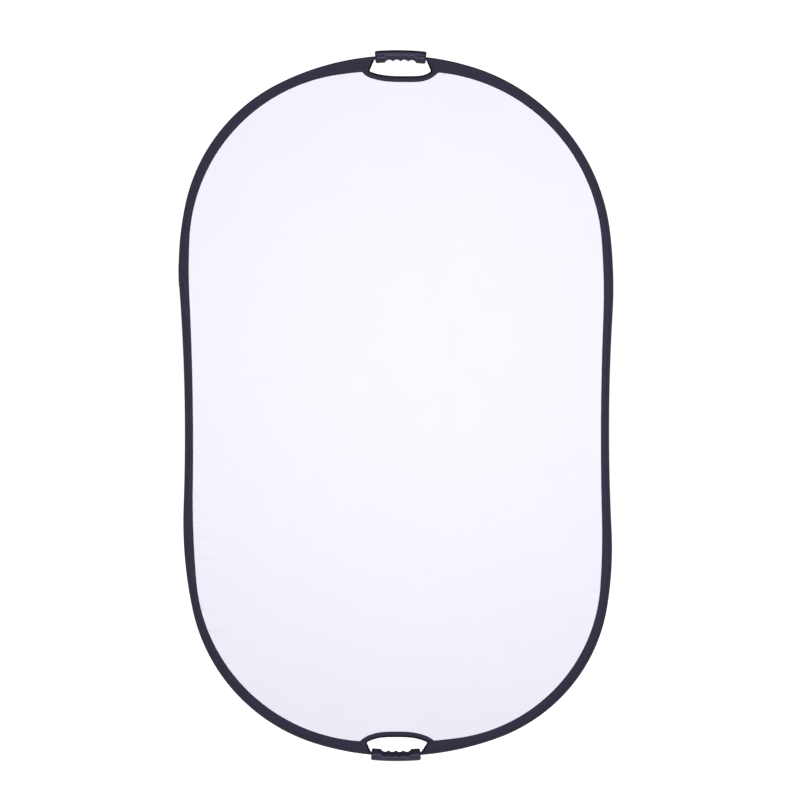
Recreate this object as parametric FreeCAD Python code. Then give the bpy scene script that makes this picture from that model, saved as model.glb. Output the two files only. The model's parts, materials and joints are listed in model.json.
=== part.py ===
"""Two-sided oval collapsible reflector with a moulded finger grip at each end.

A closed spring-steel hoop runs inside a black fabric sleeve, and the sleeve's two flanges hold a
white sheet and a silver sheet stretched back to back. The panel stands upright: +Z is its long
axis, +X is to the right, the white side faces -Y, and the origin is the centre of the panel.

The hoop is elastic, so the panel bends along its whole length. Here it is eleven stiff strips,
hinged on lines along X in the middle plane, which bend together into the first fold.
Millimetres throughout.
"""
import FreeCAD, Part
import math
import os

V = FreeCAD.Vector

# Outline of the sleeve: slightly waisted sides, and four corners that differ a little.
# Each corner is (waist turn, shoulder radius, corner radius, corner turn), in mm and degrees.
OUTER = {
    "half_width": 497.15,
    "top": 825.9,
    "bottom": 823.4,
    "waist_radius": 4600.0,
    "top_right": (2.87, 1058.0, 457.0, 64.2),
    "top_left": (3.58, 699.0, 408.5, 50.4),
    "bottom_left": (2.77, 1006.0, 428.0, 60.9),
    "bottom_right": (3.44, 896.0, 401.5, 60.5),
}
# Inner edge of the black border, which is wider near the grips than at the waist.
BORDER_EDGE = {
    "half_width": 477.75,
    "top": 791.6,
    "bottom": 789.1,
    "waist_radius": 7080.0,
    "top_right": (1.73, 1601.0, 422.6, 78.9),
    "top_left": (2.16, 1429.0, 404.5, 78.3),
    "bottom_left": (1.40, 2266.0, 416.6, 83.7),
    "bottom_right": (1.99, 1761.0, 389.8, 78.8),
}
QUARTERS = (("top_right", 1, 1), ("top_left", -1, 1), ("bottom_left", -1, -1), ("bottom_right", 1, -1))
SHOULDER_TURN_LIMITS = (2.0, 25.0)

# Sheets, sleeve and hoop. Insets are measured inwards from the outline.
FABRIC = 0.7
SHEET_CLEARANCE = 0.05
FLANGE_FACE = 1.5
CHANNEL_INSET = 8.0
CHANNEL_HALF_THICKNESS = 3.5
CAVITY_INSETS = (0.6, 6.5)
CAVITY_HALF_WIDTH = 2.9
HOOP_INSETS = (1.2, 2.2)
HOOP_HALF_WIDTH = 2.25
FERRULE_WALL = 0.5
FERRULE_SPAN = (306.0, 336.0)
LAP_THICKNESS = 0.6
LAP_SPAN = (294.0, 346.0)

# Strips and the hinge lines between them.
HINGE_HEIGHTS = (50.0, 150.0, 250.0, 350.0, 450.0)
HINGE_HALF_GAP = 1.2
BEYOND_HEIGHT = 900.0
BEYOND_WIDTH = 600.0
BEYOND_DEPTH = 30.0

# Grips: ring sectors that follow the hoop over the top and bottom.
RING_RADIUS = 625.0
GRIP_LENGTH = 117.6
GRIP_OUTSIDE = 12.0
GRIP_INSIDE = 16.0
GRIP_HALF_DEPTH = 13.0
GRIP_EDGE_RADIUS = 5.0
GRIP_ROUND_HEIGHT = 11.0
GROOVE_COUNT = 4
GROOVE_PITCH = 17.8
GROOVE_DEPTH = 6.2
GROOVE_SAGITTA = 4.3
HOOP_SLOT_CLEARANCE = 0.1
SCREW_SPACING = 76.0
SCREW_OUTSIDE = 4.4
SCREW_SHANK_RADIUS = 1.5
SCREW_HEAD_RADIUS = 3.0
SCREW_HEAD_HEIGHT = 2.0
SCREW_RECESS = 2.6
SCREW_DEPTH = 17.0
SCREW_CLEARANCE = 0.1
PILOT_CLEARANCE = 0.05

# Hand holes, seen from the front with their own end upwards: the sideways shifts of the grip and
# of the hole, the hole's half widths at its foot and neck, the heights of foot, neck and lowest point.
ENDS = {
    "top": {
        "shift": 9.3, "hole": 8.2, "foot": 70.8, "neck": 59.5,
        "foot_z": 790.0, "neck_z": 814.8, "low_z": 778.6,
    },
    "bottom": {
        "shift": 3.3, "hole": 1.6, "foot": 72.2, "neck": 60.7,
        "foot_z": 790.6, "neck_z": 812.5, "low_z": 777.4,
    },
}
BINDING_WIDTH = 13.9
BINDING_FOLD = 1.5


def polar(centre, radius, angle):
    """Point at an angle in degrees from +X towards +Z, in the plane y = 0."""
    a = math.radians(angle)
    return V(centre.x + radius * math.cos(a), 0, centre.z + radius * math.sin(a))


def quarter_arcs(shape, corner, shoulder_turn):
    """Arcs of one quarter from the waist to the top, as (centre, radius, start, end, side).

    side is +1 where the arc bulges outwards and -1 at the hollow waist.
    """
    waist_turn, shoulder_radius, corner_radius, corner_turn = shape[corner]
    waist_centre = V(shape["half_width"] + shape["waist_radius"], 0, 0)
    arcs = [(waist_centre, shape["waist_radius"], 180.0, 180.0 - waist_turn, -1)]
    point = polar(waist_centre, shape["waist_radius"], 180.0 - waist_turn)
    heading = -waist_turn
    for radius, turn in ((shoulder_radius, shoulder_turn), (corner_radius, corner_turn)):
        centre = polar(point, -radius, heading)
        arcs.append((centre, radius, heading, heading + turn, 1))
        heading += turn
        point = polar(centre, radius, heading)
    cap_radius = point.x / math.cos(math.radians(heading))
    arcs.append((polar(point, -cap_radius, heading), cap_radius, heading, 90.0, 1))
    return arcs


def top_of(arcs):
    centre, radius = arcs[-1][:2]
    return centre.z + radius


def settled_arcs(shape, corner):
    """The quarter whose shoulder turns just far enough for the cap to reach its end's height."""
    low, high = SHOULDER_TURN_LIMITS
    rising = top_of(quarter_arcs(shape, corner, high)) > top_of(quarter_arcs(shape, corner, low))
    for _ in range(60):
        middle = (low + high) / 2
        above = top_of(quarter_arcs(shape, corner, middle)) > shape[corner.split("_")[0]]
        if above == rising:
            high = middle
        else:
            low = middle
    return quarter_arcs(shape, corner, middle)


def outline_face(shape, inset=0.0):
    """Closed face in the plane y = 0, moved inwards from the outline by inset."""
    edges = []
    for corner, right, up in QUARTERS:
        for centre, radius, start, end, side in settled_arcs(shape, corner):
            points = [polar(centre, radius - side * inset, a) for a in (start, (start + end) / 2, end)]
            points = [V(p.x * right, 0, p.z * up) for p in points]
            edges.append(Part.Arc(*points).toShape())
    return Part.Face(Part.Wire(Part.__sortEdges__(edges)))


def slab(face, y_low, y_high):
    """Solid of a face in the plane y = 0, between two depths."""
    lifted = face.copy()
    lifted.translate(V(0, y_low, 0))
    return lifted.extrude(V(0, y_high - y_low, 0))


def ring_slab(shape, outer_inset, inner_inset, y_low, y_high):
    outside = slab(outline_face(shape, outer_inset), y_low, y_high)
    return outside.cut(slab(outline_face(shape, inner_inset), y_low, y_high))


def block(x_low, x_high, y_low, y_high, z_low, z_high):
    return Part.makeBox(x_high - x_low, y_high - y_low, z_high - z_low, V(x_low, y_low, z_low))


def strip_block(z_low, z_high):
    return block(-BEYOND_WIDTH, BEYOND_WIDTH, -BEYOND_DEPTH, BEYOND_DEPTH, z_low, z_high)


def strips():
    """Name and height range of each stiff strip, with the clearance at its hinge lines."""
    first = HINGE_HEIGHTS[0] - HINGE_HALF_GAP
    found = {"centre": (-first, first)}
    tops = HINGE_HEIGHTS[1:] + (BEYOND_HEIGHT,)
    for number, (low, high) in enumerate(zip(HINGE_HEIGHTS, tops), 1):
        span = (low + HINGE_HALF_GAP, high - HINGE_HALF_GAP)
        found[f"upper_{number}"] = span
        found[f"lower_{number}"] = (-span[1], -span[0])
    return found


def turned(shape, end):
    """A piece modelled at the top end, turned half a turn about Y for the bottom end."""
    placed = shape.copy()
    if end == "bottom":
        placed.rotate(V(0, 0, 0), V(0, 1, 0), 180)
    return placed


def hand_arc(end):
    """Centre and radius of the arc along the hand hole's lower side."""
    hole = ENDS[end]
    sagitta = hole["foot_z"] - hole["low_z"]
    radius = (hole["foot"] ** 2 + sagitta ** 2) / (2 * sagitta)
    return V(hole["hole"], 0, hole["low_z"] + radius), radius


def hand_hole(end, margin, y_half):
    """Prism of the hand hole below the grip, made larger all round by margin."""
    hole = ENDS[end]
    centre, radius = hand_arc(end)
    foot = math.sqrt((radius + margin) ** 2 - (centre.z - hole["foot_z"]) ** 2)
    neck = hole["neck"] + margin
    low = centre.z - radius - margin
    corners = [
        V(centre.x - foot, 0, hole["foot_z"]),
        V(centre.x, 0, low),
        V(centre.x + foot, 0, hole["foot_z"]),
        V(centre.x + neck, 0, hole["neck_z"] + margin),
        V(centre.x - neck, 0, hole["neck_z"] + margin),
    ]
    edges = [Part.Arc(*corners[:3]).toShape()]
    for a, b in ((2, 3), (3, 4), (4, 0)):
        edges.append(Part.makeLine(corners[a], corners[b]))
    return slab(Part.Face(Part.Wire(edges)), -y_half, y_half)


def ring_centre(end):
    return V(0, 0, OUTER[end] - RING_RADIUS)


def grip_angle(end):
    """Angle of the grip's middle from the vertical, towards +X, in degrees."""
    return math.degrees(math.asin(ENDS[end]["shift"] / RING_RADIUS))


def ring_sector(face, end):
    """Revolve a section drawn in the plane x = 0 over the length of the grip."""
    half = math.degrees(GRIP_LENGTH / 2 / RING_RADIUS)
    start = face.copy()
    start.rotate(ring_centre(end), V(0, 1, 0), grip_angle(end) - half)
    return start.revolve(ring_centre(end), V(0, 1, 0), 2 * half)


def grip_section(end):
    """Flat front and rear, rounded top edges, and a round underside for the fingers."""
    foot = OUTER[end] - GRIP_INSIDE
    crown = OUTER[end] + GRIP_OUTSIDE
    edge = GRIP_EDGE_RADIUS
    diagonal = edge * (1 - math.sqrt(0.5))
    side = GRIP_HALF_DEPTH
    corners = {}
    for sign in (-1, 1):
        corners[sign] = [
            V(0, sign * side, foot + GRIP_ROUND_HEIGHT),
            V(0, sign * side, crown - edge),
            V(0, sign * (side - diagonal), crown - diagonal),
            V(0, sign * (side - edge), crown),
        ]
    left = corners[-1]
    right = corners[1]
    edges = [
        Part.Arc(left[0], V(0, 0, foot), right[0]).toShape(),
        Part.makeLine(right[0], right[1]),
        Part.Arc(right[1], right[2], right[3]).toShape(),
        Part.makeLine(right[3], left[3]),
        Part.Arc(left[3], left[2], left[1]).toShape(),
        Part.makeLine(left[1], left[0]),
    ]
    return Part.Face(Part.Wire(edges))


def along_y(end, x_along, r_outside, y_low, y_high, radius):
    """Cylinder along Y, placed by distance along the grip and distance outside the outline."""
    length = y_high - y_low
    rod = Part.makeCylinder(radius, length, V(0, y_low, OUTER[end] + r_outside), V(0, 1, 0))
    rod.rotate(ring_centre(end), V(0, 1, 0), grip_angle(end) + math.degrees(x_along / RING_RADIUS))
    return rod


def finger_grooves(end):
    radius = (GROOVE_PITCH ** 2 / 4 + GROOVE_SAGITTA ** 2) / (2 * GROOVE_SAGITTA)
    below = -GRIP_INSIDE + GROOVE_DEPTH - radius
    middle = (GROOVE_COUNT - 1) / 2
    return [
        along_y(end, (k - middle) * GROOVE_PITCH, below, -BEYOND_DEPTH, BEYOND_DEPTH, radius)
        for k in range(GROOVE_COUNT)
    ]


def screw_places():
    return (-SCREW_SPACING / 2, SCREW_SPACING / 2)


def screws(end):
    """Pan-head self-tapping screws put in from the rear, one solid each."""
    head_bottom = GRIP_HALF_DEPTH - SCREW_RECESS
    made = []
    for x in screw_places():
        head = along_y(end, x, SCREW_OUTSIDE, head_bottom, head_bottom + SCREW_HEAD_HEIGHT, SCREW_HEAD_RADIUS)
        tip = head_bottom - SCREW_DEPTH
        shank = along_y(end, x, SCREW_OUTSIDE, tip, head_bottom, SCREW_SHANK_RADIUS)
        made.append(head.fuse(shank).removeSplitter())
    return made


def screw_holes(end):
    """Head recess, clearance hole in the rear shell and pilot hole in the front shell."""
    head_bottom = GRIP_HALF_DEPTH - SCREW_RECESS
    holes = []
    for x in screw_places():
        recess = SCREW_HEAD_RADIUS + SCREW_CLEARANCE
        clearance = SCREW_SHANK_RADIUS + SCREW_CLEARANCE
        pilot = SCREW_SHANK_RADIUS + PILOT_CLEARANCE
        holes.append(along_y(end, x, SCREW_OUTSIDE, head_bottom, BEYOND_DEPTH, recess))
        holes.append(along_y(end, x, SCREW_OUTSIDE, 0, head_bottom, clearance))
        holes.append(along_y(end, x, SCREW_OUTSIDE, head_bottom - SCREW_DEPTH, 0, pilot))
    return holes


def grip_shells(end, hoop_slot):
    body = ring_sector(grip_section(end), end)
    body = body.cut([turned(hoop_slot, end)] + finger_grooves(end) + screw_holes(end))
    front = body.common(block(-BEYOND_WIDTH, BEYOND_WIDTH, -BEYOND_DEPTH, 0, 0, BEYOND_HEIGHT))
    rear = body.common(block(-BEYOND_WIDTH, BEYOND_WIDTH, 0, BEYOND_DEPTH, 0, BEYOND_HEIGHT))
    return front, rear


def grip_zone(end):
    """Everything within the length of the grip, where the sleeve stops and the hoop is bare."""
    height = OUTER[end]
    corners = [
        V(0, -BEYOND_DEPTH, height - BEYOND_DEPTH),
        V(0, BEYOND_DEPTH, height - BEYOND_DEPTH),
        V(0, BEYOND_DEPTH, height + BEYOND_DEPTH),
        V(0, -BEYOND_DEPTH, height + BEYOND_DEPTH),
    ]
    return ring_sector(Part.Face(Part.makePolygon(corners + corners[:1])), end)


def hand_binding(end):
    """Folded tape along the hand hole's curved side, with the sheets' cut edge inside it."""
    centre, radius = hand_arc(end)
    whole = 2 * (radius + BINDING_WIDTH)

    def disc(r, y_half):
        return Part.makeCylinder(r, 2 * y_half, V(centre.x, -y_half, centre.z), V(0, 1, 0))

    tape = disc(radius + BINDING_WIDTH, FLANGE_FACE).cut(disc(radius, FLANGE_FACE))
    slot = disc(whole, FABRIC).cut(disc(radius + BINDING_FOLD, FABRIC))
    inside = turned(slab(outline_face(BORDER_EDGE), -FLANGE_FACE, FLANGE_FACE), end)
    return tape.cut(slot).common(inside)


def sleeve():
    """Black fabric sleeve: a channel for the hoop and two flanges over the sheets' edges."""
    deep = CHANNEL_HALF_THICKNESS
    channel = ring_slab(OUTER, 0, CHANNEL_INSET, -deep, deep)
    cavity = ring_slab(OUTER, CAVITY_INSETS[0], CAVITY_INSETS[1], -CAVITY_HALF_WIDTH, CAVITY_HALF_WIDTH)
    flanges = []
    for y_low, y_high in ((-FLANGE_FACE, -FABRIC), (FABRIC, FLANGE_FACE)):
        whole = slab(outline_face(OUTER, CHANNEL_INSET), y_low, y_high)
        flanges.append(whole.cut(slab(outline_face(BORDER_EDGE), y_low, y_high)))
    made = channel.cut(cavity).fuse(flanges).removeSplitter()
    for end in ENDS:
        openings = [hand_hole(end, 0, BEYOND_DEPTH), grip_zone(end)]
        made = made.cut([turned(o, end) for o in openings])
    return made


def stretched_sheet(y_low, y_high):
    made = slab(outline_face(OUTER, CHANNEL_INSET + SHEET_CLEARANCE), y_low, y_high)
    for end in ENDS:
        openings = [hand_hole(end, BINDING_FOLD + SHEET_CLEARANCE, BEYOND_DEPTH), grip_zone(end)]
        made = made.cut([turned(o, end) for o in openings])
    return made


def ferrule(hoop):
    """Crimped steel sleeve over the hoop's butted ends, on the upper left side."""
    wall = FERRULE_WALL
    deep = HOOP_HALF_WIDTH + wall
    tube = ring_slab(OUTER, HOOP_INSETS[0] - wall, HOOP_INSETS[1] + wall, -deep, deep)
    piece = block(-BEYOND_WIDTH, 0, -BEYOND_DEPTH, BEYOND_DEPTH, *FERRULE_SPAN)
    return tube.common(piece).cut(hoop)


def sleeve_lap():
    """Patch of the same tape where the sleeve's two ends meet, over the ferrule."""
    deep = CHANNEL_HALF_THICKNESS
    outside = ring_slab(OUTER, -LAP_THICKNESS, CHANNEL_INSET, -deep - LAP_THICKNESS, deep + LAP_THICKNESS)
    inside = ring_slab(OUTER, 0, CHANNEL_INSET, -deep, deep)
    piece = block(-BEYOND_WIDTH, 0, -BEYOND_DEPTH, BEYOND_DEPTH, *LAP_SPAN)
    return outside.cut(inside).common(piece)


def build():
    """Every node's name and shape."""
    hoop = ring_slab(OUTER, HOOP_INSETS[0], HOOP_INSETS[1], -HOOP_HALF_WIDTH, HOOP_HALF_WIDTH)
    spread = HOOP_SLOT_CLEARANCE
    hoop_slot = ring_slab(
        OUTER, HOOP_INSETS[0] - spread, HOOP_INSETS[1] + spread,
        -HOOP_HALF_WIDTH - spread, HOOP_HALF_WIDTH + spread,
    )
    whole = {
        "white_sheet": stretched_sheet(-FABRIC, 0),
        "silver_sheet": stretched_sheet(0, FABRIC),
        "sleeve": sleeve(),
        "hoop": hoop,
    }
    nodes = {}
    for strip, (z_low, z_high) in strips().items():
        cutter = strip_block(z_low, z_high)
        for name, shape in whole.items():
            nodes[f"{name}_{strip}"] = shape.common(cutter)
    nodes["hoop_ferrule"] = ferrule(hoop)
    nodes["sleeve_lap"] = sleeve_lap()
    for end in ENDS:
        front, rear = grip_shells(end, hoop_slot)
        nodes[f"{end}_grip_front"] = turned(front, end)
        nodes[f"{end}_grip_rear"] = turned(rear, end)
        nodes[f"{end}_grip_screws"] = turned(Part.makeCompound(screws(end)), end)
        nodes[f"{end}_hand_binding"] = turned(hand_binding(end), end)
    return nodes


os.makedirs("parts", exist_ok=True)
for name, shape in build().items():
    solids = shape.Solids
    kept = solids[0] if len(solids) == 1 else Part.makeCompound(solids)
    kept.exportStep(f"parts/{name}.step")
    box = kept.optimalBoundingBox(False)
    print(
        f"{name:22s} solids {len(solids)} valid {kept.isValid()} cm3 {kept.Volume / 1000:8.2f}"
        f"  x {box.XMin:7.1f} {box.XMax:7.1f}  y {box.YMin:6.2f} {box.YMax:6.2f}"
        f"  z {box.ZMin:7.1f} {box.ZMax:7.1f}"
    )
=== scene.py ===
import json
import math
import bmesh
import bpy
import numpy as np
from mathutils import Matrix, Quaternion, Vector
from mathutils.geometry import delaunay_2d_cdt


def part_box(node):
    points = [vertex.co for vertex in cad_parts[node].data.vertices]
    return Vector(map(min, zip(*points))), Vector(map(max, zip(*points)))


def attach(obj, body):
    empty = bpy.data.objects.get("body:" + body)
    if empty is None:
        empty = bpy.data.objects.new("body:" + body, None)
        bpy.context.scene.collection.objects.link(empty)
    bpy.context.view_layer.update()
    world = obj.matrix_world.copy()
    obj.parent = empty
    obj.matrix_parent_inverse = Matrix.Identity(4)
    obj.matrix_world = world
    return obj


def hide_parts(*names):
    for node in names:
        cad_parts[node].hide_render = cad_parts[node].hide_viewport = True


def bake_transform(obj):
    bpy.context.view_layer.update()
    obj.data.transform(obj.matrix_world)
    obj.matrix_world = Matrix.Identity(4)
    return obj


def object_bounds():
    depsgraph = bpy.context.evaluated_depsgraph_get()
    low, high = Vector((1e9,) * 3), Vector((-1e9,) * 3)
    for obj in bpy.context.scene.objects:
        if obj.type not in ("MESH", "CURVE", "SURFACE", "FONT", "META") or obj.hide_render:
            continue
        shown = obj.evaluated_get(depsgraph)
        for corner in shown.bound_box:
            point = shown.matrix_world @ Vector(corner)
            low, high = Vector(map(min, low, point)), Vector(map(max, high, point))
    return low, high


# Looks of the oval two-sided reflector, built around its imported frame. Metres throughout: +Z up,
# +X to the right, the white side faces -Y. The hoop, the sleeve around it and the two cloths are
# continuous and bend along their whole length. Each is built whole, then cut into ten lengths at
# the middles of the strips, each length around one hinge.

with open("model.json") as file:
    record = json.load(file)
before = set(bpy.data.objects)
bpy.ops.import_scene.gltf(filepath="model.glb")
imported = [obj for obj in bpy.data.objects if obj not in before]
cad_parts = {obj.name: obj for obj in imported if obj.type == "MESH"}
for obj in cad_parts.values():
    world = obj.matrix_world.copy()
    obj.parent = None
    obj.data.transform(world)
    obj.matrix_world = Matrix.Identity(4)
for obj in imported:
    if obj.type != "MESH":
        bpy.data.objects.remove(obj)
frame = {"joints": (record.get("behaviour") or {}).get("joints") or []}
cad_low, cad_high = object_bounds()

MM = 0.001
TURN = 2 * math.pi

# Outline of the sleeve and inner edge of its flanges, as in the CAD source. Each corner is
# (waist turn, shoulder radius, corner radius, corner turn), in metres and degrees.
OUTER_SHAPE = {
    "half_width": 0.49715, "top": 0.8259, "bottom": 0.8234, "waist_radius": 4.6,
    "top_right": (2.87, 1.058, 0.4570, 64.2), "top_left": (3.58, 0.699, 0.4085, 50.4),
    "bottom_left": (2.77, 1.006, 0.4280, 60.9), "bottom_right": (3.44, 0.896, 0.4015, 60.5),
}
BORDER_SHAPE = {
    "half_width": 0.47775, "top": 0.7916, "bottom": 0.7891, "waist_radius": 7.08,
    "top_right": (1.73, 1.601, 0.4226, 78.9), "top_left": (2.16, 1.429, 0.4045, 78.3),
    "bottom_left": (1.40, 2.266, 0.4166, 83.7), "bottom_right": (1.99, 1.761, 0.3898, 78.8),
}
QUARTERS = (("top_right", 1, 1), ("top_left", -1, 1), ("bottom_left", -1, -1), ("bottom_right", 1, -1))
QUARTER_OF = {(up, right): n for n, (_, right, up) in enumerate(QUARTERS)}
TOP_LEFT = QUARTER_OF[(1, -1)]
SHOULDER_TURN_LIMITS = (2.0, 25.0)
# Which number of an outline's point runs across the panel, and which one up it.
X, Z = 0, 1

# Hand holes, each seen with its own end upwards: the grip's sideways shift, the lowest point of
# the curved side, how fast that side rises to the left and to the right, the corners, and the
# slopes at which the facing runs on under the sleeve.
HOLES = {
    "top": {"shift": 0.0093, "low": (0.0200, 0.7788), "powers": (3.0, 4.5), "foot_z": 0.7900,
            "feet": (-0.0626, 0.0790), "necks": (-0.0506, 0.0670), "neck_z": 0.8180,
            "flares": (1.00, 0.85)},
    "bottom": {"shift": 0.0033, "low": (0.0040, 0.7776), "powers": (3.0, 3.2), "foot_z": 0.7906,
               "feet": (-0.0715, 0.0728), "necks": (-0.0562, 0.0624), "neck_z": 0.8148,
               "flares": (0.80, 0.95)},
}
# The bottom end is built like the top one, then turned half a turn about Y.
SIGN = {"top": 1, "bottom": -1}
END_BODY = {"top": "upper_5", "bottom": "lower_5"}

# Height of the panel that bends across one hinge, and a height well past its ends.
BEND_SPAN = 0.1
BEYOND = 2.0
# Share of a hinge's turn that a length has still to make where it is cut. At this share the bent
# lengths meet at the same slope and lie close to one round arc.
TURN_LEFT = 0.2378
# A lip past a length's cut, pressed in a little, fills the hair-wide gap that a full bend opens.
LIP = 1.2 * MM
LIP_INSET = 0.06 * MM

RING_RADIUS = 0.625
GRIP_LENGTH = 0.1176


# ---------------------------------------------------------------- outlines

def solve(low, high, value, target):
    """Where a rising or falling function reaches target, between low and high."""
    rising = value(high) > value(low)
    for _ in range(60):
        middle = (low + high) / 2
        if (value(middle) > target) == rising:
            high = middle
        else:
            low = middle
    return (low + high) / 2


def polar(radius, degrees):
    turn = math.radians(degrees)
    return np.array([radius * math.cos(turn), radius * math.sin(turn)])


def quarter_arcs(shape, corner, shoulder_turn):
    """Arcs of one quarter from the waist to the top: centre x and z, radius, start, end, side."""
    waist_turn, shoulder_radius, corner_radius, corner_turn = shape[corner]
    centre = np.array([shape["half_width"] + shape["waist_radius"], 0.0])
    arcs = [(*centre, shape["waist_radius"], 180.0, 180.0 - waist_turn, -1)]
    point = centre + polar(shape["waist_radius"], 180.0 - waist_turn)
    heading = -waist_turn
    for radius, swing in ((shoulder_radius, shoulder_turn), (corner_radius, corner_turn)):
        centre = point - polar(radius, heading)
        arcs.append((*centre, radius, heading, heading + swing, 1))
        heading += swing
        point = centre + polar(radius, heading)
    cap_radius = point[0] / math.cos(math.radians(heading))
    arcs.append((0.0, point[1] - polar(cap_radius, heading)[1], cap_radius, heading, 90.0, 1))
    return arcs


def settled_arcs(shape, corner):
    """The quarter whose shoulder turns just far enough for the cap to reach its end's height."""
    def height(turn):
        cap = quarter_arcs(shape, corner, turn)[-1]
        return cap[1] + cap[2]
    turn = solve(*SHOULDER_TURN_LIMITS, height, shape[corner.split("_")[0]])
    return quarter_arcs(shape, corner, turn)


class Outline:
    """Closed chain of arcs, walked from the right waist over the top, by distance along it."""

    def __init__(self, shape):
        self.arcs = []
        self.quarters = [0.0]
        length = 0.0
        for corner, right, up in QUARTERS:
            backwards = right * up < 0
            chain = settled_arcs(shape, corner)
            for x, z, radius, start, end, side in reversed(chain) if backwards else chain:
                ends = [math.radians(turn) for turn in ((end, start) if backwards else (start, end))]
                size = radius * abs(ends[1] - ends[0])
                self.arcs.append((right, up, x, z, radius, *ends, side, length, size))
                length += size
            self.quarters.append(length)
        self.length = length

    def walk(self, along, inset=0.0):
        """Points at distances along the outline, moved inwards, and the outward directions there."""
        along = np.mod(np.atleast_1d(np.asarray(along, float)), self.length)
        points, outwards = np.zeros((len(along), 2)), np.zeros((len(along), 2))
        for right, up, x, z, radius, first, last, side, start, size in self.arcs:
            here = (along >= start - 1e-12) & (along <= start + size + 1e-12)
            angle = first + (last - first) * (along[here] - start) / size
            ray = np.stack([right * np.cos(angle), up * np.sin(angle)], 1)
            points[here] = np.array([right * x, up * z]) + radius * ray
            outwards[here] = side * ray
        return points - outwards * np.reshape(inset, (-1, 1)), outwards

    def locate(self, points):
        """Distance inside the outline, and distance along it, of the nearest place to each point."""
        points = np.asarray(points, float)
        best = np.full(len(points), 1e9)
        inside, along = np.zeros(len(points)), np.zeros(len(points))
        for right, up, x, z, radius, first, last, side, start, size in self.arcs:
            dx, dz = points[:, 0] * right - x, points[:, 1] * up - z
            angle = np.arctan2(dz, dx)
            angle = np.where(angle < min(first, last) - math.pi, angle + TURN, angle)
            held = np.clip(angle, min(first, last), max(first, last))
            gap = np.hypot(dx - radius * np.cos(held), dz - radius * np.sin(held))
            mine = (points[:, 0] * right >= -1e-9) & (points[:, 1] * up >= -1e-9) & (gap < best)
            best = np.where(mine, gap, best)
            inside = np.where(mine, side * (radius - np.hypot(dx, dz)), inside)
            along = np.where(mine, start + size * (held - first) / (last - first), along)
        return inside, along


outer = Outline(OUTER_SHAPE)
border = Outline(BORDER_SHAPE)


def ripple(along, length, wavelength, seed, waves=6):
    """Smooth random wave from about -1 to 1 that closes on itself after length."""
    draw = np.random.default_rng(seed)
    total = np.zeros_like(along)
    for _ in range(waves):
        count = max(1, round(length / wavelength * draw.uniform(0.6, 1.6)))
        total += math.sqrt(2 / waves) * np.sin(TURN * (count * along / length + draw.uniform()))
    return total


def smooth_step(x):
    x = np.clip(x, 0.0, 1.0)
    return x * x * (3 - 2 * x)


def unit(rows):
    return rows / np.maximum(np.linalg.norm(rows, axis=-1, keepdims=True), 1e-12)


def crossing(quarter, inset, axis, target):
    """Distance along the outer outline, in one quarter, where a coordinate reaches target."""
    low, high = outer.quarters[quarter], outer.quarters[quarter + 1]
    return solve(low + 1e-6, high - 1e-6, lambda s: outer.walk(s, inset)[0][0][axis], target)


# ---------------------------------------------------------------- bending lengths

def step_place(share):
    """Where between 0 and 1 a smooth step has risen to a share."""
    return 0.5 - math.sin(math.asin(1 - 2 * share) / 3)


class Length:
    """One of the ten lengths that a continuous piece is cut into, around one hinge."""

    def __init__(self, end, number):
        self.up = 1 if end == "upper" else -1
        self.end = "top" if end == "upper" else "bottom"
        self.name = f"{end}_{number}"
        self.before = "centre" if number == 1 else f"{end}_{number - 1}"
        last = number == len(HINGES)
        hinge, turn = HINGES[number - 1]
        self.low = hinge - BEND_SPAN / 2
        self.high = BEYOND if last else hinge + BEND_SPAN / 2
        self.lip_low = self.name == "upper_1"
        self.lip_high = not last
        others = (HINGES[max(number - 2, 0)][1], HINGES[min(number, len(HINGES) - 1)][1])
        first, final = (step_place(TURN_LEFT * (turn + other) / (2 * turn)) for other in others)
        reach = BEND_SPAN / (1 - first - final)
        start = self.low - first * reach
        self.blend = [(0, 0, self.up * z) for z in (start, start + reach)]

    def bend(self, piece):
        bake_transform(piece)

    def stands_for(self, piece, kind):
        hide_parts(f"{kind}_{self.name}")
        if self.name == "upper_1":
            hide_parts(f"{kind}_centre")

    def tucked(self, z):
        """How far the cloth is pressed in at a height: on the lips only."""
        height = z * self.up
        past_high = self.lip_high and height > self.high + 1e-6
        past_low = self.lip_low and height < self.low - 1e-6
        return LIP_INSET if past_high or past_low else 0.0

    def has_lip_at(self, z):
        height = z * self.up
        at_high = self.lip_high and abs(height - self.high) < 1 * MM
        return at_high or (self.lip_low and abs(height - self.low) < 1 * MM)


# Height and full turn of each hinge, from the middle outwards.
HINGES = sorted(
    (joint["pos_m"][2], joint["range_deg"][1])
    for joint in frame["joints"] if joint["name"].startswith("bend_upper")
)
LENGTHS = [Length(end, number) for end in ("upper", "lower") for number in range(1, len(HINGES) + 1)]
# Distance inside the outline of the line on which the cuts' heights are met.
TAPE_MIDDLE = 12 * MM


def cut_marks():
    """Distances along the outline of the cuts between lengths, for each height and side."""
    marks = {(0.0, 1): 0.0, (0.0, -1): outer.quarters[2]}
    for length in LENGTHS:
        for right in (1, -1):
            for height in (length.low, length.high):
                if 1e-9 < height < 1:
                    z = round(length.up * height, 6)
                    marks[(z, right)] = crossing(QUARTER_OF[(length.up, right)], TAPE_MIDDLE, Z, z)
    return marks


MARKS = cut_marks()


def spans(length, gap=None):
    """Stretches of the outline in a length, with an optional gap where the grip is."""
    low, high = round(length.up * length.low, 6) + 0.0, round(length.up * length.high, 6)
    starts = {right: MARKS[(low, right)] for right in (1, -1)}
    if length.up < 0 and low == 0.0:
        starts[1] = outer.length
    if (high, 1) in MARKS:
        return [tuple(sorted((starts[right], MARKS[(high, right)]))) for right in (1, -1)]
    first, last = sorted(starts.values())
    return [(first, last)] if gap is None else [(first, gap[0]), (gap[1], last)]


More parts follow.
